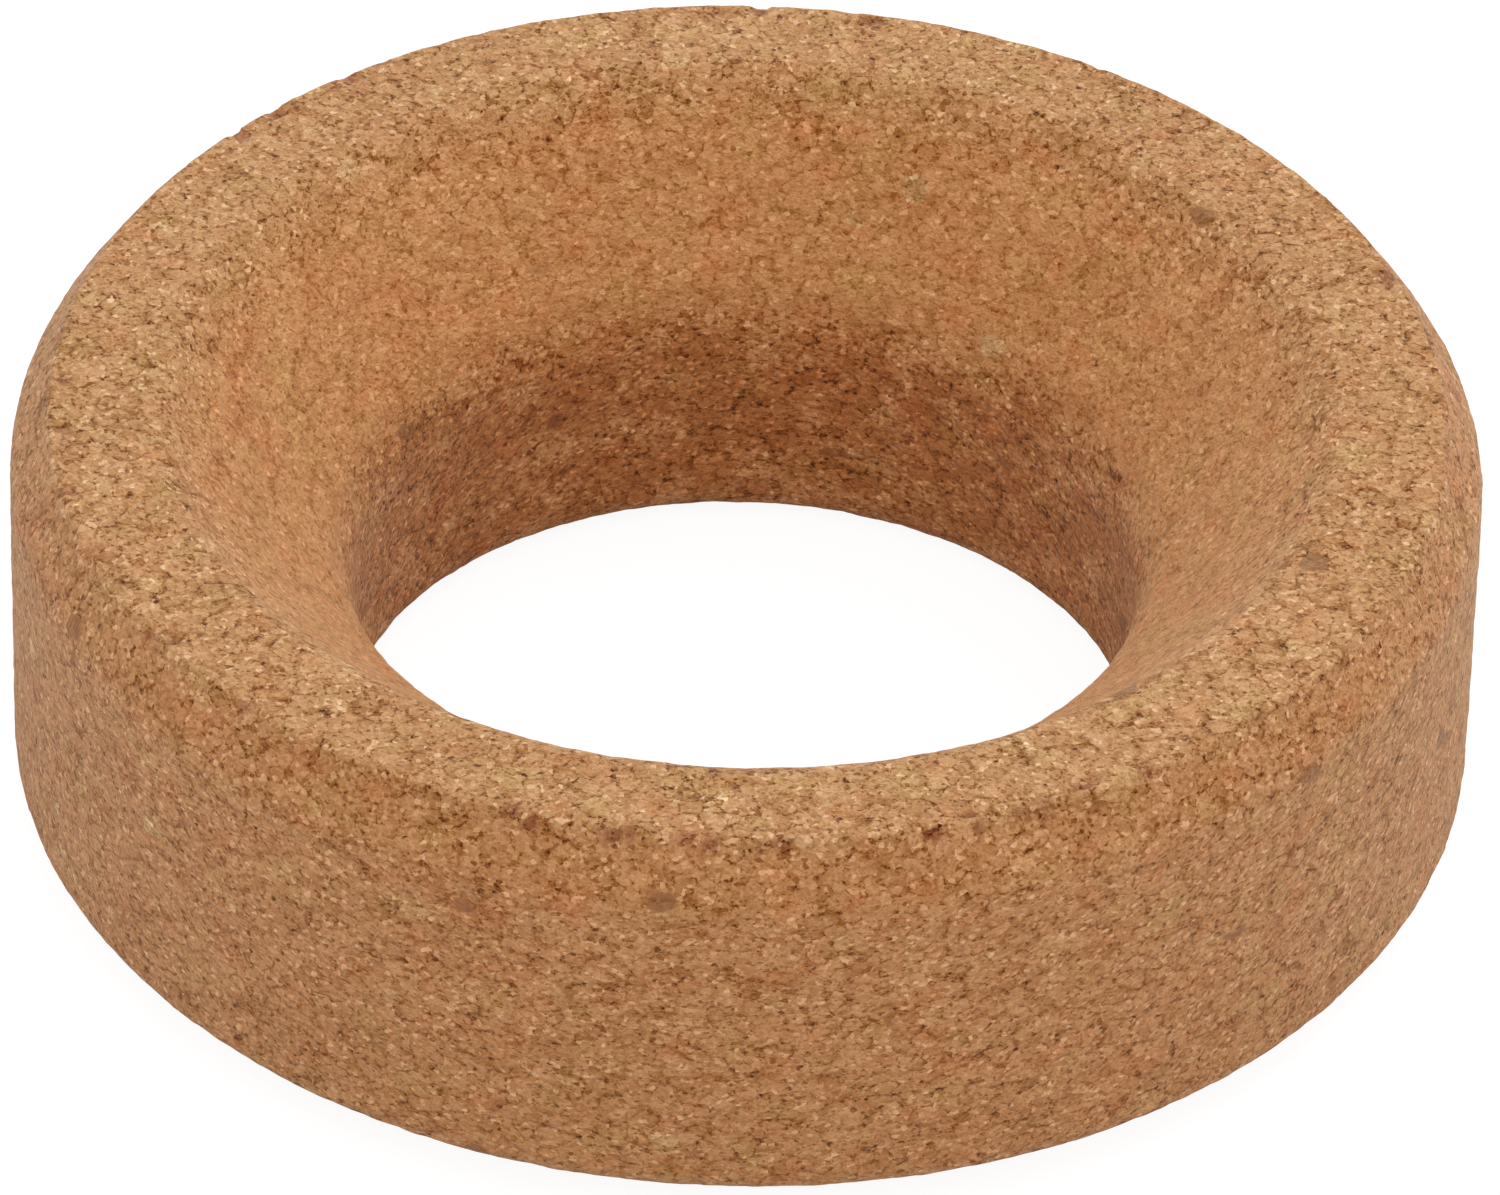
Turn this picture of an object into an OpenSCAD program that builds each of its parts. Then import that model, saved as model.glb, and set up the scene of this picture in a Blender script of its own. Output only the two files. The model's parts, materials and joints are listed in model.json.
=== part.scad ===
// Cork ring: a low ring of agglomerated cork that holds a round-bottomed flask upright.
// It is one turned piece, so its section is drawn once and revolved about the vertical axis.
// The origin is the centre of the underside, +Z is up, and sizes are in millimetres.

/* [Ring] */
// Diameter of the outer wall
outer_d = 110; // [92:1:132]
// Height from the underside to the flat rim
height = 33; // [24:1:60]
// Diameter of the straight bore
bore_d = 59; // [36:1:76]

/* [Bowl] */
// Width of the flat rim around the bowl's mouth
rim_w = 8.4; // [2:0.2:18]
// Slope of the bowl's side above the horizontal, in degrees
bowl_slope = 44; // [25:1:60]
// Radius that rounds the rim over into the bowl
mouth_round = 3; // [0.5:0.5:8]
// Radius that rounds the bowl's side into the bore
neck_round = 8.5; // [1:0.5:16]

/* [Rim bevel] */
// How far the bevel at the rim runs inwards from the wall
rim_bevel_w = 3; // [1:0.2:6]
// How far the bevel runs down the wall
rim_bevel_h = 4.4; // [2:0.2:10]
// Radius on the crisp edge between the rim and its bevel
rim_edge_round = 0.5; // [0.1:0.1:3]
// Radius that softens the bevel into the wall
rim_bevel_round = 4; // [0.5:0.5:8]

/* [Foot] */
// How far the bevel at the foot runs inwards from the wall
foot_bevel_w = 4.8; // [1:0.2:8]
// How far the bevel runs up the wall
foot_bevel_h = 3; // [1:0.2:8]
// Radius that softens the wall into the bevel
foot_bevel_round = 2; // [0.5:0.5:4]
// Radius on the edge between the bevel and the underside
foot_edge_round = 1; // [0.2:0.2:4]
// Radius on the bore's lower edge
bore_edge_round = 3; // [0.5:0.5:6]

/* [Hidden] */
$fn = 180;
hair = 0.001;

outer_r = outer_d / 2;
bore_r = bore_d / 2;
mouth_r = outer_r - rim_bevel_w - rim_w;
bowl_depth = (mouth_r - bore_r) * tan(bowl_slope);

// The section's corners before rounding, anticlockwise from the bore's lower edge.
// Each is [radius from the axis, height above the underside, rounding radius].
SECTION_CORNERS = [
    [bore_r, 0, bore_edge_round],
    [outer_r - foot_bevel_w, 0, foot_edge_round],
    [outer_r, foot_bevel_h, foot_bevel_round],
    [outer_r, height - rim_bevel_h, rim_bevel_round],
    [outer_r - rim_bevel_w, height, rim_edge_round],
    [mouth_r, height, mouth_round],
    [bore_r, height - bowl_depth, neck_round]
];

// A corner's place in the section, and the unit direction from one place to another.
function place(corner) = [corner[0], corner[1]];
function direction(from, to) = (to - from) / norm(to - from);

// What the rounding takes off a convex corner: the tip, outside a circle that rests
// against both of the corner's sides. The circle is a hair larger than the radius,
// so that it crosses the sides cleanly instead of only touching them.
module corner_waste(before, corner, after) {
    tip = place(corner);
    radius = corner[2];
    back = direction(tip, place(before));
    ahead = direction(tip, place(after));
    half_angle = acos(back * ahead) / 2;
    side = radius / tan(half_angle);
    inward = (back + ahead) / norm(back + ahead);
    difference() {
        polygon([tip - inward * side, tip + back * side, tip + ahead * side]);
        translate(tip + inward * radius / sin(half_angle))
            circle(r = radius + hair);
    }
}

// The ring's section: a convex outline with each corner rounded.
module section() {
    count = len(SECTION_CORNERS);
    difference() {
        polygon([for (corner = SECTION_CORNERS) place(corner)]);
        for (i = [0 : count - 1])
            corner_waste(
                SECTION_CORNERS[(i + count - 1) % count],
                SECTION_CORNERS[i],
                SECTION_CORNERS[(i + 1) % count]
            );
    }
}

module cork_ring() {
    color([0.75, 0.56, 0.39])
        rotate_extrude()
            section();
}

cork_ring();
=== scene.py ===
"""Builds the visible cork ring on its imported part, with a plain studio round it."""

import json
import math

import bpy
import numpy as np
from bpy.props import FloatProperty, FloatVectorProperty, IntProperty, PointerProperty
from mathutils import Matrix, Vector


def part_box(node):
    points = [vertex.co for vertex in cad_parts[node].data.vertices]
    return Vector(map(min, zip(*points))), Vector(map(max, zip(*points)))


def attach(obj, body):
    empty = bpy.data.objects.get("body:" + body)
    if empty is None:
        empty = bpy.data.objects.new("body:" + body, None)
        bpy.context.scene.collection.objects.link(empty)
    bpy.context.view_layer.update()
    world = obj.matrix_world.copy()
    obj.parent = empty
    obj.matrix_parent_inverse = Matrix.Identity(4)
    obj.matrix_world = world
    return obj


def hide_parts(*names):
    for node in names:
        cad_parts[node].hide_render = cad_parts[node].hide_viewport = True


bl_info = {
    "name": "Cork Ring",
    "version": (1, 0, 0),
    "blender": (4, 5, 0),
    "location": "3D View > Sidebar > Cork Ring",
    "description": "Builds the visible cork ring on its packed part, with a plain studio",
    "category": "Add Mesh",
}

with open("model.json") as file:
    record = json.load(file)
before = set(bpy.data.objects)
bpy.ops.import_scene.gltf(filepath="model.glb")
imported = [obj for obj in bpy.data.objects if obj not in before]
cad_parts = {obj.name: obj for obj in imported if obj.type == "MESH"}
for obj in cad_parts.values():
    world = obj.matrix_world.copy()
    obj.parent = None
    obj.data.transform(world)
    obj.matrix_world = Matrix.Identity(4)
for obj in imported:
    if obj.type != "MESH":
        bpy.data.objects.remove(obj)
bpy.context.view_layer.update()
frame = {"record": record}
ring_low, ring_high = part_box("cork_ring")
mounts = {mount["name"]: mount for mount in frame["record"]["mounts"]}

MM = 0.001
WHITE = (1.0, 1.0, 1.0, 1.0)
OUTER_RADIUS = (ring_high.x - ring_low.x) / 2
HEIGHT = ring_high.z - ring_low.z
BORE_RADIUS = mounts["bore"]["dims"]["r_mm"] * MM

# Numbers of two corners of the section: the start of the underside, and the rim's outer edge
UNDERSIDE = 0
RIM_EDGE = 4
# Fewest mesh rows round a corner
CORNER_ROWS = 3
# Where the hollow ends under the ring, as a share of the bore's radius
HOLLOW_FOOT = 1.1
# Nearest and farthest the camera sees, in metres
CAMERA_REACH = (0.05, 50)
# Room in metres for a vertex to move sideways, more than any of them needs
SIDEWAYS_ROOM = (1, 1, 0)

# Middle value of a noise
NOISE_MIDDLE = 0.5

# Noises: swells in a millimetre, detail and roughness
BENDING = (0.55, 1.5, 0.5)
DRIFT = (0.25, 2.0, 0.6)
ROLLING = (0.5, 2.0, 0.8)
TORN_STRETCHES = (0.12, 1.0, 0.5)
GRAIN = (3.6, 2.0, 0.7)
SPECKS = (1.7, 2.0, 0.6)

# Pattern values at which a mark starts and at which it is full
CHIP_SLOPE = (0.2, 0.8)
TORN_BIT = (0.70, 0.78)
TORN_SLOPE = (0.3, 0.6)
TORN_EDGE = (0.25, 0.8)
TORN_STRETCH = (0.42, 0.62)
CLUSTER = (0.38, 0.62)
# The gap, pit, seam and hole values place dark marks that are partly painted shade in the
# crevices between granules
GAP = (0.48, 0.30)
GAP_PICK = (0.3, 0.6)
PIT = (0.615, 0.69)
SEAM = (0.09, 0.02)
SEAM_SPECK = (0.47, 0.54)
SEAM_GRAIN = (0.55, 0.46)
HOLE = (0.09, 0.07)
CRUMB = (0.915, 0.94)
CHIP_CORE = (0.42, 0.54)
BARK_CHIP = (0.9935, 0.9947)
PALE_CHIP = (0.0060, 0.0045)
# Depths in the hollow where the bowl's painted light and the bore's painted shade start and
# are full, and where the tones smooth and roughen
BOWL_LIGHT_START = (0.0, 0.05)
BOWL_SMOOTH = (0.0, 0.5)
BORE_SHADE_START = (0.955, 1.0)
BORE_ROUGH = (0.9, 1.0)


# ---------------------------------------------------------------- named sizes and colours


class RingShape(bpy.types.PropertyGroup):
    """Sizes of the ring's turned section."""

    outer_radius: FloatProperty(
        name="Outer radius",
        description="Radius of the outer wall",
        default=OUTER_RADIUS,
        unit="LENGTH",
    )
    height: FloatProperty(
        name="Height",
        description="Height of the ring",
        default=HEIGHT,
        unit="LENGTH",
    )
    bore_radius: FloatProperty(
        name="Bore radius",
        description="Radius of the straight hole",
        default=BORE_RADIUS,
        unit="LENGTH",
    )
    rim_width: FloatProperty(
        name="Rim width",
        description="Width of the flat rim before its edges are rounded",
        default=8.4 * MM,
        unit="LENGTH",
    )
    bowl_slope: FloatProperty(
        name="Bowl slope",
        description="Slope of the bowl below the horizontal",
        default=math.radians(44),
        subtype="ANGLE",
    )
    mouth_round: FloatProperty(
        name="Mouth rounding",
        description="Radius between the bowl and the rim",
        default=3 * MM,
        unit="LENGTH",
    )
    neck_round: FloatProperty(
        name="Neck rounding",
        description="Radius between the bowl and the bore",
        default=8.5 * MM,
        unit="LENGTH",
    )
    rim_bevel_width: FloatProperty(
        name="Rim bevel width",
        description="Width of the bevel outside the rim",
        default=3 * MM,
        unit="LENGTH",
    )
    rim_bevel_height: FloatProperty(
        name="Rim bevel height",
        description="Height of the bevel outside the rim",
        default=4.4 * MM,
        unit="LENGTH",
    )
    rim_edge_round: FloatProperty(
        name="Rim edge rounding",
        description="Radius of the rim's outer edge",
        default=0.5 * MM,
        unit="LENGTH",
    )
    rim_bevel_round: FloatProperty(
        name="Rim bevel rounding",
        description="Radius between the rim bevel and the wall",
        default=4 * MM,
        unit="LENGTH",
    )
    foot_bevel_width: FloatProperty(
        name="Foot bevel width",
        description="Width of the bevel at the foot",
        default=4.8 * MM,
        unit="LENGTH",
    )
    foot_bevel_height: FloatProperty(
        name="Foot bevel height",
        description="Height of the bevel at the foot",
        default=3 * MM,
        unit="LENGTH",
    )
    foot_bevel_round: FloatProperty(
        name="Foot bevel rounding",
        description="Radius between the foot bevel and the wall",
        default=2 * MM,
        unit="LENGTH",
    )
    foot_edge_round: FloatProperty(
        name="Foot edge rounding",
        description="Radius between the foot bevel and the underside",
        default=1 * MM,
        unit="LENGTH",
    )
    bore_edge_round: FloatProperty(
        name="Bore edge rounding",
        description="Radius at the bottom of the bore",
        default=3 * MM,
        unit="LENGTH",
    )
    mouth_fade: FloatProperty(
        name="Mouth fade",
        description="How far the look of the sawn rim reaches into the bowl",
        default=4.5 * MM,
        unit="LENGTH",
    )
    edge_fade: FloatProperty(
        name="Edge fade",
        description="How far the look of the sawn faces reaches over their other edges",
        default=1.5 * MM,
        unit="LENGTH",
    )
    edge_reach: FloatProperty(
        name="Edge reach",
        description="How far from the rim's outer edge torn spots can lie",
        default=2.5 * MM,
        unit="LENGTH",
    )
    columns: IntProperty(
        name="Columns",
        description="Mesh columns round the ring",
        default=600,
        min=24,
    )
    step: FloatProperty(
        name="Row step",
        description="Distance between mesh rows on the faces in view",
        default=0.575 * MM,
        unit="LENGTH",
    )
    hidden_step: FloatProperty(
        name="Hidden row step",
        description="Distance between mesh rows on the underside",
        default=1.5 * MM,
        unit="LENGTH",
    )


class GranuleRelief(bpy.types.PropertyGroup):
    """How the granules are pressed, and how far they stand out of the surface."""

    flattening: FloatProperty(
        name="Flattening",
        description="How much flatter than wide the pressed granules are",
        default=1.4,
    )
    bend_reach: FloatProperty(
        name="Bend reach",
        description="How far the granules' edges are bent out of true",
        default=1.6 * MM,
        unit="LENGTH",
    )
    chip_size: FloatProperty(
        name="Chip size",
        description="Width of the larger pressed granules",
        default=2.4 * MM,
        unit="LENGTH",
    )
    chip_depth: FloatProperty(
        name="Chip depth",
        description="Depth of the seams between the larger granules",
        default=0.06 * MM,
        unit="LENGTH",
    )
    chip_level: FloatProperty(
        name="Chip level",
        description="How far a larger granule stands above or below, as a share of its depth",
        default=0.25,
    )
    chip_middle: FloatProperty(
        name="Chip middle",
        description="Share of the chip depth that lies under the turned surface",
        default=0.7,
    )
    rough_depth: FloatProperty(
        name="Rough depth",
        description="Depth of the fine unevenness of the whole surface",
        default=0.22 * MM,
        unit="LENGTH",
    )
    granule_size: FloatProperty(
        name="Granule size",
        description="Width of the small pressed granules",
        default=1.3 * MM,
        unit="LENGTH",
    )
    flake_size: FloatProperty(
        name="Flake size",
        description="Width of the flakes within the small granules",
        default=0.40 * MM,
        unit="LENGTH",
    )
    torn_size: FloatProperty(
        name="Torn size",
        description="Width of the bits torn out along the rim's edge",
        default=1.6 * MM,
        unit="LENGTH",
    )
    torn_depth: FloatProperty(
        name="Torn depth",
        description="Depth of the bits torn out along the rim's edge",
        default=0.32 * MM,
        unit="LENGTH",
    )
    torn_shift: FloatVectorProperty(
        name="Torn shift",
        description="Shift in millimetres of the pattern that places the torn spots",
        default=(22.7, 22.3, 38.9),
        subtype="XYZ",
    )
    bump_depth: FloatProperty(
        name="Bump depth",
        description="Depth of the fine grain that is shaded and not modelled",
        default=0.16 * MM,
        unit="LENGTH",
    )
    grain_bump: FloatProperty(
        name="Grain bump",
        description="How far the fine grain stands out, in bump depths",
        default=1.2,
    )
    speck_bump: FloatProperty(
        name="Speck bump",
        description="How deep the dark specks lie, in bump depths",
        default=2.4,
    )


class CorkGrain(bpy.types.PropertyGroup):
    """How strongly each mark of the cork shows."""

    granule: FloatProperty(
        name="Granule tones",
        description="Difference in tone between small granules",
        default=0.17,
    )
    flake: FloatProperty(
        name="Flake tones",
        description="Difference in tone between flakes",
        default=0.33,
    )
    fine: FloatProperty(
        name="Fine tones",
        description="Difference in tone within the finest grain",
        default=0.85,
    )
    chip: FloatProperty(
        name="Chip tones",
        description="Difference in tone between larger granules",
        default=0.08,
    )
    drift: FloatProperty(
        name="Drift",
        description="Slow difference in tone over the ring",
        default=0.10,
    )
    # Painted shade: the gaps and pits are darkened in the colour, partly their own dark colour
    # and partly the shade that falls in them
    gap: FloatProperty(
        name="Gaps",
        description="Darkness of the gaps and pits between granules",
        default=0.30,
    )
    cluster: FloatProperty(
        name="Clusters",
        description="How unevenly the gaps and pits are spread over the ring",
        default=0.25,
    )
    # Painted shadow: the seams are darkened in the colour, partly the cork's own dark outlines
    # and partly the shadow of the granules' edges
    seam: FloatProperty(
        name="Seams",
        description="Darkness of the seams between granules",
        default=0.40,
    )
    # Painted shade: the smallest holes are darkened in the colour, partly their own dark
    # colour and partly the shade inside them
    hole: FloatProperty(
        name="Holes",
        description="Darkness of the smallest holes",
        default=0.32,
    )
    crumb: FloatProperty(
        name="Crumbs",
        description="Paleness of the smallest crumbs",
        default=0.40,
    )
    lift: FloatProperty(
        name="Lift",
        description="Tone added to make up for the dark marks",
        default=0.145,
    )
    darkest: FloatProperty(
        name="Darkest",
        description="Least brightness of a dark mark, as a share of the mean colour",
        default=0.15,
    )
    wall_contrast: FloatProperty(
        name="Wall contrast",
        description="Contrast of the tones on the outer wall",
        default=1.06,
    )
    bowl_contrast: FloatProperty(
        name="Bowl contrast",
        description="Contrast of the tones in the smooth bowl",
        default=0.70,
    )
    bore_contrast: FloatProperty(
        name="Bore contrast",
        description="Contrast that the bore has beyond the bowl's",
        default=0.5,
    )
    sawn_contrast: FloatProperty(
        name="Sawn contrast",
        description="Contrast that sawn faces have beyond the others",
        default=0.12,
    )
    bark_contrast: FloatProperty(
        name="Bark contrast",
        description="Share of the contrast that bits of bark keep",
        default=0.4,
    )
    green_power: FloatProperty(
        name="Green power",
        description="How much more green changes with the tone than red",
        default=1.48,
    )
    blue_power_dark: FloatProperty(
        name="Blue power in dark marks",
        description="How much more blue changes than red in dark marks",
        default=2.8,
    )
    blue_power_pale: FloatProperty(
        name="Blue power in pale marks",
        description="How much more blue changes than red in pale marks",
        default=2.2,
    )
    chip_hue: FloatProperty(
        name="Chip hues",
        description="Difference in hue between larger granules",
        default=0.5,
    )
    granule_hue: FloatProperty(
        name="Granule hues",
        description="Difference in hue between small granules",
        default=0.1,
    )
    drift_hue: FloatProperty(
        name="Drift of hue",
        description="Slow difference in hue over the ring",
        default=1.9,
    )
    hue_reach: FloatProperty(
        name="Hue reach",
        description="Difference in hue at which a tint is full",
        default=0.65,
    )
    ragged_specks: FloatProperty(
        name="Ragged by specks",
        description="How far the specks break the edge between the bowl and the bore",
        default=0.22,
    )
    ragged_drift: FloatProperty(
        name="Ragged by drift",
        description="How far the slow drift breaks the edge between the bowl and the bore",
        default=0.26,
    )


class CorkFinish(bpy.types.PropertyGroup):
    """Colours and sheen of the cork."""

    moulded: FloatVectorProperty(
        name="Moulded",
        description="Mean colour of the outer wall and bevels",
        default=(0.501, 0.212, 0.0745),
        subtype="COLOR",
    )
    sawn: FloatVectorProperty(
        name="Sawn",
        description="Mean colour of the rim and underside",
        default=(0.500, 0.233, 0.0850),
        subtype="COLOR",
    )
    # Painted light: the bowl's colour is lighter than the wall's, standing in for more light
    # in the bowl
    bowl: FloatVectorProperty(
        name="Bowl",
        description="Mean colour of the bowl",
        default=(0.568, 0.248, 0.0865),
        subtype="COLOR",
    )
    # Painted shade: the bore's colour is darker and redder than the bowl's, standing in for
    # the shade deep in the hole
    bore: FloatVectorProperty(
        name="Bore",
        description="Mean colour of the bore",
        default=(0.452, 0.160, 0.042),
        subtype="COLOR",
    )
    pale: FloatVectorProperty(
        name="Pale",
        description="Colour of the few pale granules",
        default=(0.58, 0.31, 0.125),
        subtype="COLOR",
    )
    rust: FloatVectorProperty(
        name="Rust",
        description="Tint of the redder granules",
        default=(1.0, 0.87, 0.80),
        subtype="COLOR",
    )
    olive: FloatVectorProperty(
        name="Olive",
        description="Tint of the yellower granules",
        default=(0.97, 1.065, 0.95),
        subtype="COLOR",
    )
    bark: FloatVectorProperty(
        name="Bark",
        description="Tint of the few bits of bark",
        default=(0.72, 0.69, 0.72),
        subtype="COLOR",
    )
    torn: FloatVectorProperty(
        name="Torn",
        description="Tint of the torn spots along the rim's edge",
        default=(0.68, 0.50, 0.50),
        subtype="COLOR",
    )
    roughness: FloatProperty(
        name="Roughness",
        description="Roughness of the cork",
        default=0.68,
        min=0,
        max=1,
    )
    specular: FloatProperty(
        name="Specular",
        description="Strength of the plain reflection",
        default=0.15,
        min=0,
        max=1,
    )
    sheen: FloatProperty(
        name="Sheen",
        description="Strength of the dusty sheen at a low angle",
        default=0.24,
        min=0,
        max=1,
    )
    sheen_tint: FloatVectorProperty(
        name="Sheen tint",
        description="Colour of the dusty sheen",
        default=(0.92, 1.0, 0.84),
        subtype="COLOR",
    )
    sheen_roughness: FloatProperty(
        name="Sheen roughness",
        description="Spread of the dusty sheen",
        default=0.4,
        min=0,
        max=1,
    )


class StudioSetup(bpy.types.PropertyGroup):
    """Camera, lamp and floor."""

    camera_elevation: FloatProperty(
        name="Camera elevation",
        description="Height of the camera above the horizon",
        default=math.radians(37.40),
        subtype="ANGLE",
    )
    camera_distance: FloatProperty(
        name="Camera distance",
        description="Distance from the camera to the ring's centre",
        default=0.9417,
        unit="LENGTH",
    )
    camera_roll: FloatProperty(
        name="Camera roll",
        description="Turn of the camera about its own line of sight",
        default=math.radians(1.41),
        subtype="ANGLE",
    )
    camera_pan: FloatProperty(
        name="Camera pan",
        description="Turn of the camera to the right of the ring's centre",
        default=math.radians(0.0286),
        subtype="ANGLE",
    )
    camera_tilt: FloatProperty(
        name="Camera tilt",
        description="Turn of the camera above the ring's centre",
        default=math.radians(-0.0828),
        subtype="ANGLE",
    )
    lens: FloatProperty(
        name="Lens",
        description="Focal length in millimetres",
        default=300.2,
    )
    sensor: FloatProperty(
        name="Sensor",
        description="Sensor width in millimetres",
        default=36.0,
    )
    lamp_place: FloatVectorProperty(
        name="Lamp place",
        description="Where the soft lamp hangs",
        default=(0.62, 0.93, 1.25),
        subtype="XYZ",
        unit="LENGTH",
    )
    lamp_size: FloatProperty(
        name="Lamp size",
        description="Side of the soft lamp",
        default=1.2,
        unit="LENGTH",
    )
    lamp_power: FloatProperty(
        name="Lamp power",
        description="Power of the soft lamp in watts",
        default=8.1,
    )
    room_light: FloatProperty(
        name="Room light",
        description="Strength of the even light from all round",
        default=0.86,
    )
    floor_size: FloatProperty(
        name="Floor size",
        description="Side of the floor",
        default=6.0,
        unit="LENGTH",
    )
    floor_bounce: FloatProperty(
        name="Floor bounce",
        description="How much light the floor sends back to the ring",
        default=0.85,
    )
    floor_shade: FloatProperty(
        name="Floor shade",
        description="How strongly the floor shows the ring's shadow",
        default=0.16,
    )
    floor_glow: FloatProperty(
        name="Floor glow",
        description="Even brightness of the floor in view",
        default=0.92,
    )


# ---------------------------------------------------------------- section of the ring


def section_corners(shape):
    """Corners of the convex section as (radius, height, rounding), from the bore's foot."""
    rim_outside = shape.outer_radius - shape.rim_bevel_width
    mouth = rim_outside - shape.rim_width
    bowl_depth = (mouth - shape.bore_radius) * math.tan(shape.bowl_slope)
    return [
        (shape.bore_radius, 0, shape.bore_edge_round),
        (shape.outer_radius - shape.foot_bevel_width, 0, shape.foot_edge_round),
        (shape.outer_radius, shape.foot_bevel_height, shape.foot_bevel_round),
        (shape.outer_radius, shape.height - shape.rim_bevel_height, shape.rim_bevel_round),
        (rim_outside, shape.height, shape.rim_edge_round),
        (mouth, shape.height, shape.mouth_round),
        (shape.bore_radius, shape.height - bowl_depth, shape.neck_round),
    ]


def rounded_corner(before, corner, after):
    """Start, centre and end of the arc that rounds one corner."""
    here = Vector(corner[:2])
    to_before = (Vector(before[:2]) - here).normalized()
    to_after = (Vector(after[:2]) - here).normalized()
    half = to_before.angle(to_after) / 2
    reach = corner[2] / math.tan(half)
    middle = (to_before + to_after).normalized()
    centre = here + middle * corner[2] / math.sin(half)
    return here + to_before * reach, centre, here + to_after * reach


def section_rows(shape):
    """Rows of the mesh, once round the section."""
    corners = section_corners(shape)
    count = len(corners)
    arcs = [
        rounded_corner(corners[i - 1], corners[i], corners[(i + 1) % count])
        for i in range(count)
    ]
    rows = []
    for i in range(count):
        start, centre, end = arcs[i]
        radius = corners[i][2]
        turn = (start - centre).angle(end - centre)
        steps = max(CORNER_ROWS, round(radius * turn / shape.step))
        first = math.atan2(start.y - centre.y, start.x - centre.x)
        near_edge = 1.0 if i == RIM_EDGE else 0.0
        for k in range(steps):
            angle = first + turn * k / steps
            place = centre + radius * Vector((math.cos(angle), math.sin(angle)))
            rows.append(section_row(shape, place, near_edge))

        after = (i + 1) % count
        next_start = arcs[after][0]
        length = (next_start - end).length
        step = shape.hidden_step if i == UNDERSIDE else shape.step
        steps = max(1, round(length / step))
        for k in range(steps):
            place = end.lerp(next_start, k / steps)
            near_edge = 0.0
            if RIM_EDGE in (i, after):
                far = (k if i == RIM_EDGE else steps - k) * length / steps
                near_edge = max(0.0, 1 - far / shape.edge_reach)
            rows.append(section_row(shape, place, near_edge))
    return np.array(rows)


def section_row(shape, place, near_edge):
    """One row of the mesh as (radius, height, sawn, rim edge, hollow)."""
    sawn = sawn_share(shape, place)
    return place.x, place.y, sawn, near_edge, hollow_share(shape, place)


def sawn_share(shape, place):
    """How much of the sawn rim's or underside's look a point of the section has."""
    rim_outside = shape.outer_radius - shape.rim_bevel_width
    mouth = rim_outside - shape.rim_width
    foot = shape.outer_radius - shape.foot_bevel_width
    inside, outside, fade_inside = mouth, rim_outside, shape.mouth_fade
    level = shape.height
    if place.y < shape.height / 2:
        inside, outside, fade_inside = shape.bore_radius, foot, shape.edge_fade
        level = 0.0
    nearest = Vector((min(max(place.x, inside), outside), level))
    fade = fade_inside if place.x < inside else shape.edge_fade
    return max(0.0, 1 - (place - nearest).length / fade)


def hollow_share(shape, place):
    """How deep a point of the section lies in the hollow, from 0 outside to 1 in the bore."""
    mouth = shape.outer_radius - shape.rim_bevel_width - shape.rim_width
    under = place.y < shape.height / 2 and place.x > shape.bore_radius * HOLLOW_FOOT
    if under or place.x > mouth:
        return 0.0
    return min(1.0, (mouth - place.x) / (mouth - shape.bore_radius))


def ring_mesh(shape):
    """Mesh of the ring, with its sawn faces, rim edge and hollow marked on its vertices."""
    rows = section_rows(shape)
    row_count = len(rows)
    columns = shape.columns
    angles = np.arange(columns) * 2 * math.pi / columns
    radius = rows[:, 0][None, :]
    points = np.empty((columns, row_count, 3))
    points[:, :, 0] = np.cos(angles)[:, None] * radius
    points[:, :, 1] = np.sin(angles)[:, None] * radius
    points[:, :, 2] = rows[:, 1][None, :]
    column = np.arange(columns)[:, None] * row_count
    next_column = (np.arange(columns)[:, None] + 1) % columns * row_count
    row = np.arange(row_count)[None, :]
    next_row = (row + 1) % row_count
    quads = np.stack(
        [column + row, next_column + row, next_column + next_row, column + next_row],
        axis=-1,
    )
    mesh = bpy.data.meshes.new("cork_ring")
    mesh.from_pydata(points.reshape(-1, 3).tolist(), [], quads.reshape(-1, 4).tolist())
    for name, index in (("sawn", 2), ("rim_edge", 3), ("hollow", 4)):
        attribute = mesh.attributes.new(name, "FLOAT", "POINT")
        values = np.tile(rows[:, index], columns).astype(np.float32)
        attribute.data.foreach_set("value", values)
    mesh.shade_smooth()
    mesh.update()
    return mesh


# ---------------------------------------------------------------- small helpers for node trees


def feed(tree, socket, value):
    """Links a socket into another one, or sets a plain value."""
    if isinstance(value, bpy.types.NodeSocket):
        tree.links.new(value, socket)
    else:
        socket.default_value = value


def add_node(tree, kind, inputs=None, **settings):
    """Adds one node with its settings and inputs."""
    made = tree.nodes.new(kind)
    for name, value in settings.items():
        setattr(made, name, value)
    for name, value in (inputs or {}).items():
        feed(tree, made.inputs[name], value)
    return made


def calculate(tree, operation, *values):
    """A math node's result."""
    inputs = dict(enumerate(values))
    return add_node(tree, "ShaderNodeMath", inputs, operation=operation).outputs[0]


def product(tree, first, *others):
    """Values multiplied together."""
    result = first
    for value in others:
        result = calculate(tree, "MULTIPLY", result, value)
    return result


def add_up(tree, start, shares):
    """A start value with other values added, each times its share."""
    total = start
    for value, share in shares:
        total = calculate(tree, "MULTIPLY_ADD", value, share, total)
    return total


def centred(tree, shares):
    """Values from 0 to 1 added up by their shares, with 0 as the middle of the sum."""
    middle = sum(share for value, share in shares) / 2
    return add_up(tree, -middle, shares)


def combine(tree, operation, *values):
    """A vector math node's result."""
    inputs = dict(enumerate(values))
    return add_node(tree, "ShaderNodeVectorMath", inputs, operation=operation).outputs[0]


def enlarge(tree, vector, scale):
    """A vector times a number."""
    inputs = {0: vector, "Scale": scale}
    return add_node(tree, "ShaderNodeVectorMath", inputs, operation="SCALE").outputs[0]


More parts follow.
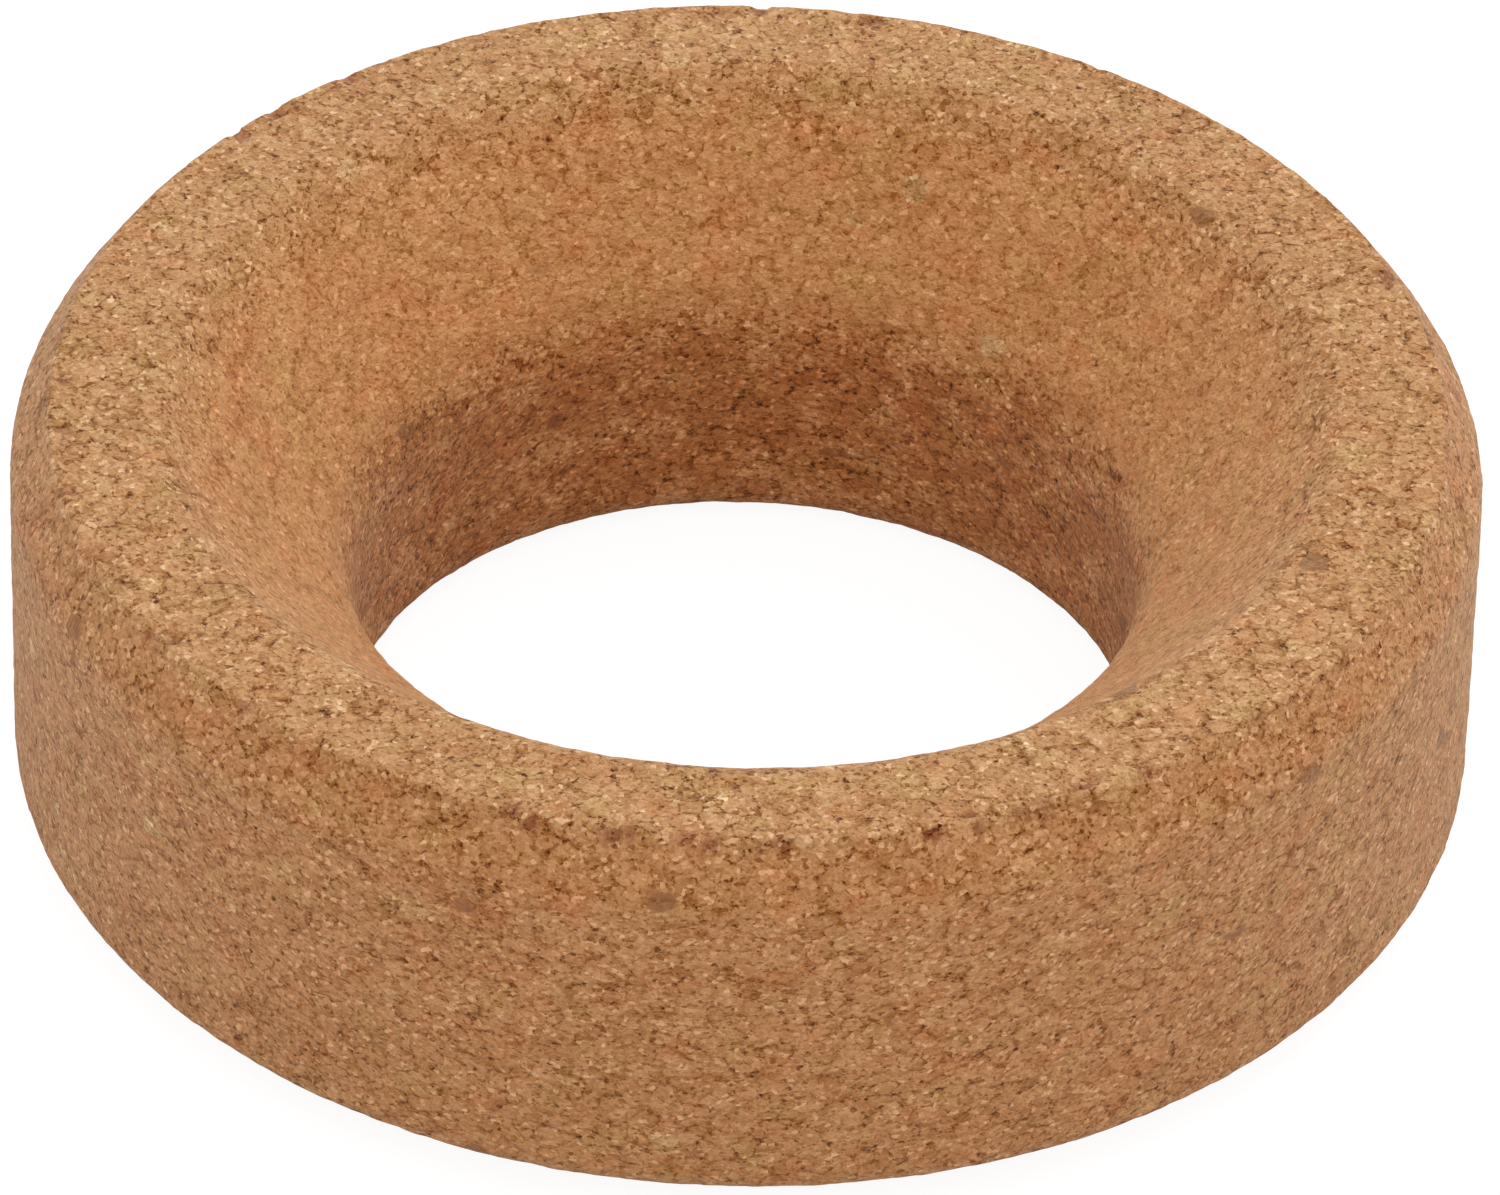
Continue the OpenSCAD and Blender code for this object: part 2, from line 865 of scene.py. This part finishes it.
def between(tree, value, span, result=(0.0, 1.0)):
    """The value brought smoothly from a span to the result's ends, and held there."""
    inputs = dict(enumerate((value, *span, *result)))
    made = add_node(
        tree, "ShaderNodeMapRange", inputs, interpolation_type="SMOOTHSTEP"
    )
    return made.outputs[0]


def blend(tree, share, first, second, way="MIX"):
    """Two colours mixed by a share."""
    made = add_node(
        tree, "ShaderNodeMix", data_type="RGBA", blend_type=way, clamp_factor=True
    )
    feed(tree, made.inputs[0], share)
    feed(tree, made.inputs[6], first)
    feed(tree, made.inputs[7], second)
    return made.outputs[2]


def tint(tree, share, colour, shade):
    """A colour with a tint over this share of it."""
    return blend(tree, share, colour, opaque(shade), "MULTIPLY")


def opaque(colour):
    """A colour property as four numbers."""
    return (*colour, 1.0)


def noise(tree, place, kind):
    """The outputs of a noise of one of the kinds above."""
    scale, detail, roughness = kind
    inputs = {"Vector": place, "Scale": scale, "Detail": detail, "Roughness": roughness}
    return add_node(tree, "ShaderNodeTexNoise", inputs).outputs


def parts_of(tree, vector):
    """A vector's three numbers."""
    return add_node(tree, "ShaderNodeSeparateXYZ", {0: vector}).outputs


def new_group(name, kind, inputs, outputs):
    """An empty node group with named sockets, its input node and its output node."""
    group = bpy.data.node_groups.new(name, kind)
    for socket_name, socket_kind, default in inputs:
        socket = group.interface.new_socket(
            name=socket_name, in_out="INPUT", socket_type=socket_kind
        )
        if default is not None:
            socket.default_value = default
    for socket_name, socket_kind in outputs:
        group.interface.new_socket(
            name=socket_name, in_out="OUTPUT", socket_type=socket_kind
        )
    return group, group.nodes.new("NodeGroupInput"), group.nodes.new("NodeGroupOutput")


def granule_cells(kind, name):
    """Group of pressed granules: tone, hue and pick of each, and nearness to its middle."""
    group, given, result = new_group(
        name,
        kind,
        [("Place", "NodeSocketVector", None), ("Size", "NodeSocketFloat", 1.0)],
        [
            ("Tone", "NodeSocketFloat"),
            ("Hue", "NodeSocketFloat"),
            ("Pick", "NodeSocketFloat"),
            ("Crown", "NodeSocketFloat"),
        ],
    )
    scale = calculate(group, "DIVIDE", 1.0, given.outputs["Size"])
    cells = add_node(
        group,
        "ShaderNodeTexVoronoi",
        {"Vector": given.outputs["Place"], "Scale": scale},
        feature="F1",
    )
    chances = parts_of(group, cells.outputs["Color"])
    crown = calculate(group, "SUBTRACT", 1.0, cells.outputs["Distance"])
    group.links.new(chances[0], result.inputs["Tone"])
    group.links.new(chances[1], result.inputs["Hue"])
    group.links.new(chances[2], result.inputs["Pick"])
    group.links.new(crown, result.inputs["Crown"])
    return group


def use_cells(tree, group, place, size):
    """One use of the granule group, with granules of this size in metres."""
    kind = "ShaderNodeGroup" if tree.bl_idname == "ShaderNodeTree" else "GeometryNodeGroup"
    made = add_node(tree, kind, node_tree=group)
    feed(tree, made.inputs["Place"], place)
    feed(tree, made.inputs["Size"], size / MM)
    return made.outputs


def pressed_place(tree, position, flattening):
    """The position in millimetres, pressed flat along the axis."""
    return combine(tree, "MULTIPLY", position, (1 / MM, 1 / MM, flattening / MM))


def store(tree, geometry, name, kind, value):
    """The geometry with a value kept on its vertices."""
    made = add_node(
        tree,
        "GeometryNodeStoreNamedAttribute",
        {"Geometry": geometry, "Name": name},
        data_type=kind,
        domain="POINT",
    )
    feed(tree, made.inputs["Value"], value)
    return made.outputs[0]


# ---------------------------------------------------------------- relief of the granules


def pressed_height(tree, group, relief, place, bent):
    """Height of the larger granules and of the fine unevenness."""
    chips = use_cells(tree, group, bent, relief.chip_size)
    crown = between(tree, chips["Crown"], CHIP_SLOPE)
    ends = (-relief.chip_level, relief.chip_level)
    level = between(tree, chips["Tone"], (0.0, 1.0), ends)
    crown = calculate(tree, "ADD", crown, level)
    crown = calculate(tree, "SUBTRACT", crown, relief.chip_middle)
    rolling = calculate(tree, "SUBTRACT", noise(tree, place, ROLLING)[0], NOISE_MIDDLE)
    return add_up(
        tree, 0.0, [(crown, relief.chip_depth), (rolling, relief.rough_depth)]
    )


def torn_spots(tree, group, relief, bent):
    """Where bits are torn out along the rim's edge, from 0 to 1."""
    edge = add_node(
        tree, "GeometryNodeInputNamedAttribute", {"Name": "rim_edge"}, data_type="FLOAT"
    )
    shifted = combine(tree, "ADD", bent, relief.torn_shift)
    bits = use_cells(tree, group, shifted, relief.torn_size)
    return product(
        tree,
        between(tree, bits["Pick"], TORN_BIT),
        between(tree, bits["Crown"], TORN_SLOPE),
        between(tree, edge.outputs[0], TORN_EDGE),
        between(tree, noise(tree, shifted, TORN_STRETCHES)[0], TORN_STRETCH),
    )


def above_floor(tree, position, offset):
    """The offset, held so that no vertex goes below the floor."""
    to_floor = combine(tree, "MULTIPLY", position, (0, 0, -1))
    lowest = combine(tree, "SUBTRACT", to_floor, SIDEWAYS_ROOM)
    return combine(tree, "MAXIMUM", offset, lowest)


def relief_nodes(relief):
    """Geometry node tree that presses the granules' relief into the mesh."""
    tree, given, result = new_group(
        "granule_relief",
        "GeometryNodeTree",
        [("Geometry", "NodeSocketGeometry", None)],
        [("Geometry", "NodeSocketGeometry")],
    )
    group = granule_cells("GeometryNodeTree", "granule_cells_relief")
    position = tree.nodes.new("GeometryNodeInputPosition").outputs[0]
    normal = tree.nodes.new("GeometryNodeInputNormal").outputs[0]
    place = pressed_place(tree, position, relief.flattening)
    bend = noise(tree, place, BENDING)["Color"]
    bend = combine(tree, "SUBTRACT", bend, (NOISE_MIDDLE, NOISE_MIDDLE, NOISE_MIDDLE))
    bend = enlarge(tree, bend, relief.bend_reach / MM)
    bent = combine(tree, "ADD", place, bend)
    torn = torn_spots(tree, group, relief, bent)
    height = pressed_height(tree, group, relief, place, bent)
    height = add_up(tree, height, [(torn, -relief.torn_depth)])
    offset = above_floor(tree, position, enlarge(tree, normal, height))
    marked = store(tree, given.outputs[0], "torn", "FLOAT", torn)
    marked = store(tree, marked, "bend", "FLOAT_VECTOR", bend)
    drift = noise(tree, place, DRIFT)["Color"]
    marked = store(tree, marked, "drift", "FLOAT_VECTOR", drift)
    move = add_node(
        tree, "GeometryNodeSetPosition", {"Geometry": marked, "Offset": offset}
    )
    tree.links.new(move.outputs[0], result.inputs[0])
    return tree


# ---------------------------------------------------------------- cork


def cork_patterns(tree, relief):
    """The ring's marks and the cork's granules and grain, by name."""
    found = {
        name: add_node(tree, "ShaderNodeAttribute", attribute_name=name).outputs["Fac"]
        for name in ("sawn", "torn", "hollow")
    }
    bend, drift = (
        add_node(tree, "ShaderNodeAttribute", attribute_name=name).outputs["Vector"]
        for name in ("bend", "drift")
    )
    group = granule_cells("ShaderNodeTree", "granule_cells")
    coordinates = tree.nodes.new("ShaderNodeTexCoord").outputs["Object"]
    place = pressed_place(tree, coordinates, relief.flattening)
    bent = combine(tree, "ADD", place, bend)
    edges = add_node(
        tree,
        "ShaderNodeTexVoronoi",
        {"Vector": bent, "Scale": MM / relief.granule_size},
        feature="DISTANCE_TO_EDGE",
    )
    found["drift"] = parts_of(tree, drift)
    found["chips"] = use_cells(tree, group, bent, relief.chip_size)
    found["granules"] = use_cells(tree, group, bent, relief.granule_size)
    found["flakes"] = use_cells(tree, group, place, relief.flake_size)
    found["grain"] = noise(tree, place, GRAIN)[0]
    found["specks"] = noise(tree, place, SPECKS)[0]
    found["edges"] = edges.outputs["Distance"]
    return found


def cork_tone(tree, grain, found):
    """Tone of the cork, with 0 for the mean and less for the dark marks, which are partly
    painted shade.
    """
    granules, flakes, specks = found["granules"], found["flakes"], found["specks"]
    # Painted shade: gaps between granules and pits darkened in the colour, partly their own
    # dark colour and partly the shade in them
    gap = product(
        tree,
        between(tree, granules["Crown"], GAP),
        between(tree, granules["Pick"], GAP_PICK),
    )
    pit_shade = between(tree, specks, PIT)
    dark = calculate(tree, "MAXIMUM", gap, pit_shade)
    clusters = between(tree, found["drift"][2], CLUSTER, (1 - grain.cluster, 1.0))
    dark = product(tree, dark, clusters)
    # Painted shadow: short dark strokes along granule edges, partly dark outlines and partly
    # the shadow of the edges
    seam = product(
        tree,
        between(tree, found["edges"], SEAM),
        between(tree, specks, SEAM_SPECK),
        between(tree, found["grain"], SEAM_GRAIN),
    )
    even = centred(
        tree,
        [
            (granules["Tone"], grain.granule),
            (flakes["Tone"], grain.flake),
            (found["grain"], grain.fine),
            (found["chips"]["Tone"], grain.chip),
            (found["drift"][0], grain.drift),
        ],
    )
    marked = add_up(
        tree,
        even,
        [
            (dark, -grain.gap),
            (seam, -grain.seam),
            # Painted shade in the smallest holes
            (between(tree, flakes["Pick"], HOLE), -grain.hole),
            (between(tree, flakes["Pick"], CRUMB), grain.crumb),
        ],
    )
    return calculate(tree, "ADD", marked, grain.lift)


def cork_contrast(tree, grain, found, bark):
    """How strongly the tones show on each face, and less on bark."""
    hollow = found["hollow"]
    smoothed = (grain.wall_contrast, grain.bowl_contrast)
    contrast = between(tree, hollow, BOWL_SMOOTH, smoothed)
    rough = between(tree, hollow, BORE_ROUGH)
    contrast = add_up(
        tree,
        contrast,
        [(found["sawn"], grain.sawn_contrast), (rough, grain.bore_contrast)],
    )
    kept = between(tree, bark, (0.0, 1.0), (1.0, grain.bark_contrast))
    return product(tree, contrast, kept)


def toned(tree, grain, tone, contrast):
    """What the tone makes of red, green and blue: dark marks turn browner."""
    red = add_up(tree, 1.0, [(tone, contrast)])
    red = calculate(tree, "MAXIMUM", red, grain.darkest)
    green = calculate(tree, "POWER", red, grain.green_power)
    blue = calculate(
        tree,
        "MINIMUM",
        calculate(tree, "POWER", red, grain.blue_power_dark),
        calculate(tree, "POWER", red, grain.blue_power_pale),
    )
    return add_node(tree, "ShaderNodeCombineXYZ", {0: red, 1: green, 2: blue}).outputs[0]


def face_colour(tree, finish, grain, found):
    """Mean colour of each face: wall, bowl made lighter as painted light, bore made darker as
    painted shade with a ragged edge, and sawn faces.
    """
    # Painted light in the bowl and painted shade in the bore, by depth in the hollow
    bowl_light_share = between(tree, found["hollow"], BOWL_LIGHT_START)
    wander = centred(
        tree,
        [(found["specks"], grain.ragged_specks), (found["drift"][2], grain.ragged_drift)],
    )
    ragged = calculate(tree, "ADD", found["hollow"], wander)
    bore_shade_share = between(tree, ragged, BORE_SHADE_START)
    colour = blend(tree, bowl_light_share, opaque(finish.moulded), opaque(finish.bowl))
    colour = blend(tree, bore_shade_share, colour, opaque(finish.bore))
    return blend(tree, found["sawn"], colour, opaque(finish.sawn))


def cork_colour(tree, finish, grain, found):
    """Colour of the cork with all its marks."""
    chips = found["chips"]
    core = between(tree, chips["Crown"], CHIP_CORE)
    bark = product(tree, between(tree, chips["Pick"], BARK_CHIP), core)
    pale = product(tree, between(tree, chips["Pick"], PALE_CHIP), core)
    hue = centred(
        tree,
        [
            (chips["Hue"], grain.chip_hue),
            (found["granules"]["Hue"], grain.granule_hue),
            (found["drift"][1], grain.drift_hue),
        ],
    )
    redder = between(tree, hue, (0.0, grain.hue_reach))
    yellower = between(tree, hue, (0.0, -grain.hue_reach))
    colour = face_colour(tree, finish, grain, found)
    colour = tint(tree, redder, colour, finish.rust)
    colour = tint(tree, yellower, colour, finish.olive)
    colour = tint(tree, bark, colour, finish.bark)
    colour = blend(tree, pale, colour, opaque(finish.pale))
    tone = cork_tone(tree, grain, found)
    contrast = cork_contrast(tree, grain, found, bark)
    colour = combine(tree, "MULTIPLY", colour, toned(tree, grain, tone, contrast))
    return tint(tree, found["torn"], colour, finish.torn)


def cork_material(finish, grain, relief):
    """Pressed cork: granules of several tones and hues, dark seams and pits that are partly
    painted shade, pale crumbs.
    """
    material = bpy.data.materials.new("cork")
    material.use_nodes = True
    tree = material.node_tree
    tree.nodes.clear()
    found = cork_patterns(tree, relief)
    height = add_up(
        tree,
        0.0,
        [(found["grain"], relief.grain_bump), (found["specks"], -relief.speck_bump)],
    )
    bump = add_node(
        tree,
        "ShaderNodeBump",
        {"Strength": 1.0, "Distance": relief.bump_depth, "Height": height},
    )
    surface = add_node(
        tree,
        "ShaderNodeBsdfPrincipled",
        {
            "Base Color": cork_colour(tree, finish, grain, found),
            "Roughness": finish.roughness,
            "Specular IOR Level": finish.specular,
            "Sheen Weight": finish.sheen,
            "Sheen Tint": opaque(finish.sheen_tint),
            "Sheen Roughness": finish.sheen_roughness,
            "Normal": bump.outputs[0],
        },
    )
    add_node(tree, "ShaderNodeOutputMaterial", {"Surface": surface.outputs[0]})
    return material


# ---------------------------------------------------------------- floor, light and camera


def floor_material(studio):
    """Plain white floor that stays white in view and keeps the ring's soft shadow."""
    material = bpy.data.materials.new("studio_floor")
    material.use_nodes = True
    tree = material.node_tree
    tree.nodes.clear()
    bounce = studio.floor_bounce
    shade = studio.floor_shade
    matte = add_node(
        tree, "ShaderNodeBsdfDiffuse", {"Color": (bounce, bounce, bounce, 1.0)}
    )
    shaded = add_node(tree, "ShaderNodeBsdfDiffuse", {"Color": (shade, shade, shade, 1.0)})
    glow = add_node(tree, "ShaderNodeEmission", {"Strength": studio.floor_glow})
    seen = add_node(tree, "ShaderNodeAddShader", {0: shaded.outputs[0], 1: glow.outputs[0]})
    rays = tree.nodes.new("ShaderNodeLightPath")
    mixed = add_node(
        tree,
        "ShaderNodeMixShader",
        {0: rays.outputs["Is Camera Ray"], 1: matte.outputs[0], 2: seen.outputs[0]},
    )
    add_node(tree, "ShaderNodeOutputMaterial", {"Surface": mixed.outputs[0]})
    return material


def studio_world(studio):
    """White wherever it is seen or mirrored, and an even room light elsewhere."""
    world = bpy.data.worlds.new("studio_world")
    world.use_nodes = True
    tree = world.node_tree
    tree.nodes.clear()
    rays = tree.nodes.new("ShaderNodeLightPath")
    seen = calculate(
        tree, "MAXIMUM", rays.outputs["Is Camera Ray"], rays.outputs["Is Glossy Ray"]
    )
    seen = calculate(tree, "MAXIMUM", seen, rays.outputs["Is Transmission Ray"])
    room = add_node(tree, "ShaderNodeBackground", {0: WHITE, 1: studio.room_light})
    backdrop = add_node(tree, "ShaderNodeBackground", {0: WHITE, 1: 1.0})
    mixed = add_node(
        tree,
        "ShaderNodeMixShader",
        {0: seen, 1: room.outputs[0], 2: backdrop.outputs[0]},
    )
    add_node(tree, "ShaderNodeOutputWorld", {"Surface": mixed.outputs[0]})
    return world


def studio_camera(studio):
    """Camera above the front of the ring, with a long lens."""
    data = bpy.data.cameras.new("studio_camera")
    data.sensor_width = studio.sensor
    data.lens = studio.lens
    data.clip_start, data.clip_end = CAMERA_REACH
    camera = bpy.data.objects.new("studio_camera", data)
    bpy.context.scene.collection.objects.link(camera)
    rise = studio.camera_elevation
    centre = Vector((0, 0, HEIGHT / 2))
    back = Vector((0, -math.cos(rise), math.sin(rise)))
    turn = (
        Matrix.Rotation(math.pi / 2 - rise, 3, "X")
        @ Matrix.Rotation(studio.camera_roll, 3, "Z")
        @ Matrix.Rotation(-studio.camera_pan, 3, "Y")
        @ Matrix.Rotation(studio.camera_tilt, 3, "X")
    )
    camera.location = centre + back * studio.camera_distance
    camera.rotation_euler = turn.to_euler()
    return camera


def studio_floor(studio):
    """Square floor that the ring stands on."""
    half = studio.floor_size / 2
    ground = ring_low.z
    corners = [
        (-half, -half, ground),
        (half, -half, ground),
        (half, half, ground),
        (-half, half, ground),
    ]
    mesh = bpy.data.meshes.new("studio_floor")
    mesh.from_pydata(corners, [], [(0, 1, 2, 3)])
    mesh.materials.append(floor_material(studio))
    floor = bpy.data.objects.new("studio_floor", mesh)
    bpy.context.scene.collection.objects.link(floor)
    return floor


def soft_lamp(studio):
    """Square lamp aimed at the middle of the ring."""
    data = bpy.data.lights.new("soft_lamp", "AREA")
    data.shape = "SQUARE"
    data.size = studio.lamp_size
    data.energy = studio.lamp_power
    lamp = bpy.data.objects.new("soft_lamp", data)
    bpy.context.scene.collection.objects.link(lamp)
    lamp.location = studio.lamp_place
    aim = Vector((0, 0, HEIGHT / 2)) - Vector(studio.lamp_place)
    lamp.rotation_euler = aim.to_track_quat("-Z", "Y").to_euler()
    return lamp


# ---------------------------------------------------------------- operators and panel


class CORKRING_OT_cork_ring(bpy.types.Operator):
    """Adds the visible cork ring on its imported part"""

    bl_idname = "cork_ring.add_cork_ring"
    bl_label = "Add Cork Ring"

    def execute(self, context):
        shape = context.scene.cork_ring_shape
        relief = context.scene.cork_ring_relief
        finish = context.scene.cork_ring_finish
        grain = context.scene.cork_ring_grain
        mesh = ring_mesh(shape)
        mesh.materials.append(cork_material(finish, grain, relief))
        ring = bpy.data.objects.new("pressed_cork_ring", mesh)
        context.scene.collection.objects.link(ring)
        pressing = ring.modifiers.new("granule_relief", "NODES")
        pressing.node_group = relief_nodes(relief)
        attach(ring, "root")
        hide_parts("cork_ring")
        return {"FINISHED"}


class CORKRING_OT_studio(bpy.types.Operator):
    """Adds the floor, the soft light and the camera"""

    bl_idname = "cork_ring.add_studio"
    bl_label = "Add Studio"

    def execute(self, context):
        scene = context.scene
        studio = scene.cork_ring_studio
        floor = studio_floor(studio)
        soft_lamp(studio)
        scene.world = studio_world(studio)
        scene.camera = studio_camera(studio)
        scene.view_settings.view_transform = "Standard"
        return {"FINISHED"}


class CORKRING_PT_panel(bpy.types.Panel):
    """Lists the steps that build the cork ring"""

    bl_idname = "CORKRING_PT_panel"
    bl_label = "Cork Ring"
    bl_space_type = "VIEW_3D"
    bl_region_type = "UI"
    bl_category = "Cork Ring"

    def draw(self, context):
        for operator in OPERATORS:
            self.layout.operator(operator.bl_idname)


GROUPS = {
    "cork_ring_shape": RingShape,
    "cork_ring_relief": GranuleRelief,
    "cork_ring_grain": CorkGrain,
    "cork_ring_finish": CorkFinish,
    "cork_ring_studio": StudioSetup,
}
OPERATORS = (CORKRING_OT_cork_ring, CORKRING_OT_studio)


def register():
    """Registers the named values, the operators and the panel."""
    for name, group in GROUPS.items():
        bpy.utils.register_class(group)
        setattr(bpy.types.Scene, name, PointerProperty(type=group))
    for operator in OPERATORS:
        bpy.utils.register_class(operator)
    bpy.utils.register_class(CORKRING_PT_panel)


def unregister():
    """Takes out what register put in."""
    bpy.utils.unregister_class(CORKRING_PT_panel)
    for operator in reversed(OPERATORS):
        bpy.utils.unregister_class(operator)
    for name, group in reversed(GROUPS.items()):
        delattr(bpy.types.Scene, name)
        bpy.utils.unregister_class(group)


def main():
    """Builds the ring and its studio."""
    register()
    bpy.ops.cork_ring.add_cork_ring()
    bpy.ops.cork_ring.add_studio()


if __name__ == "__main__":
    main()
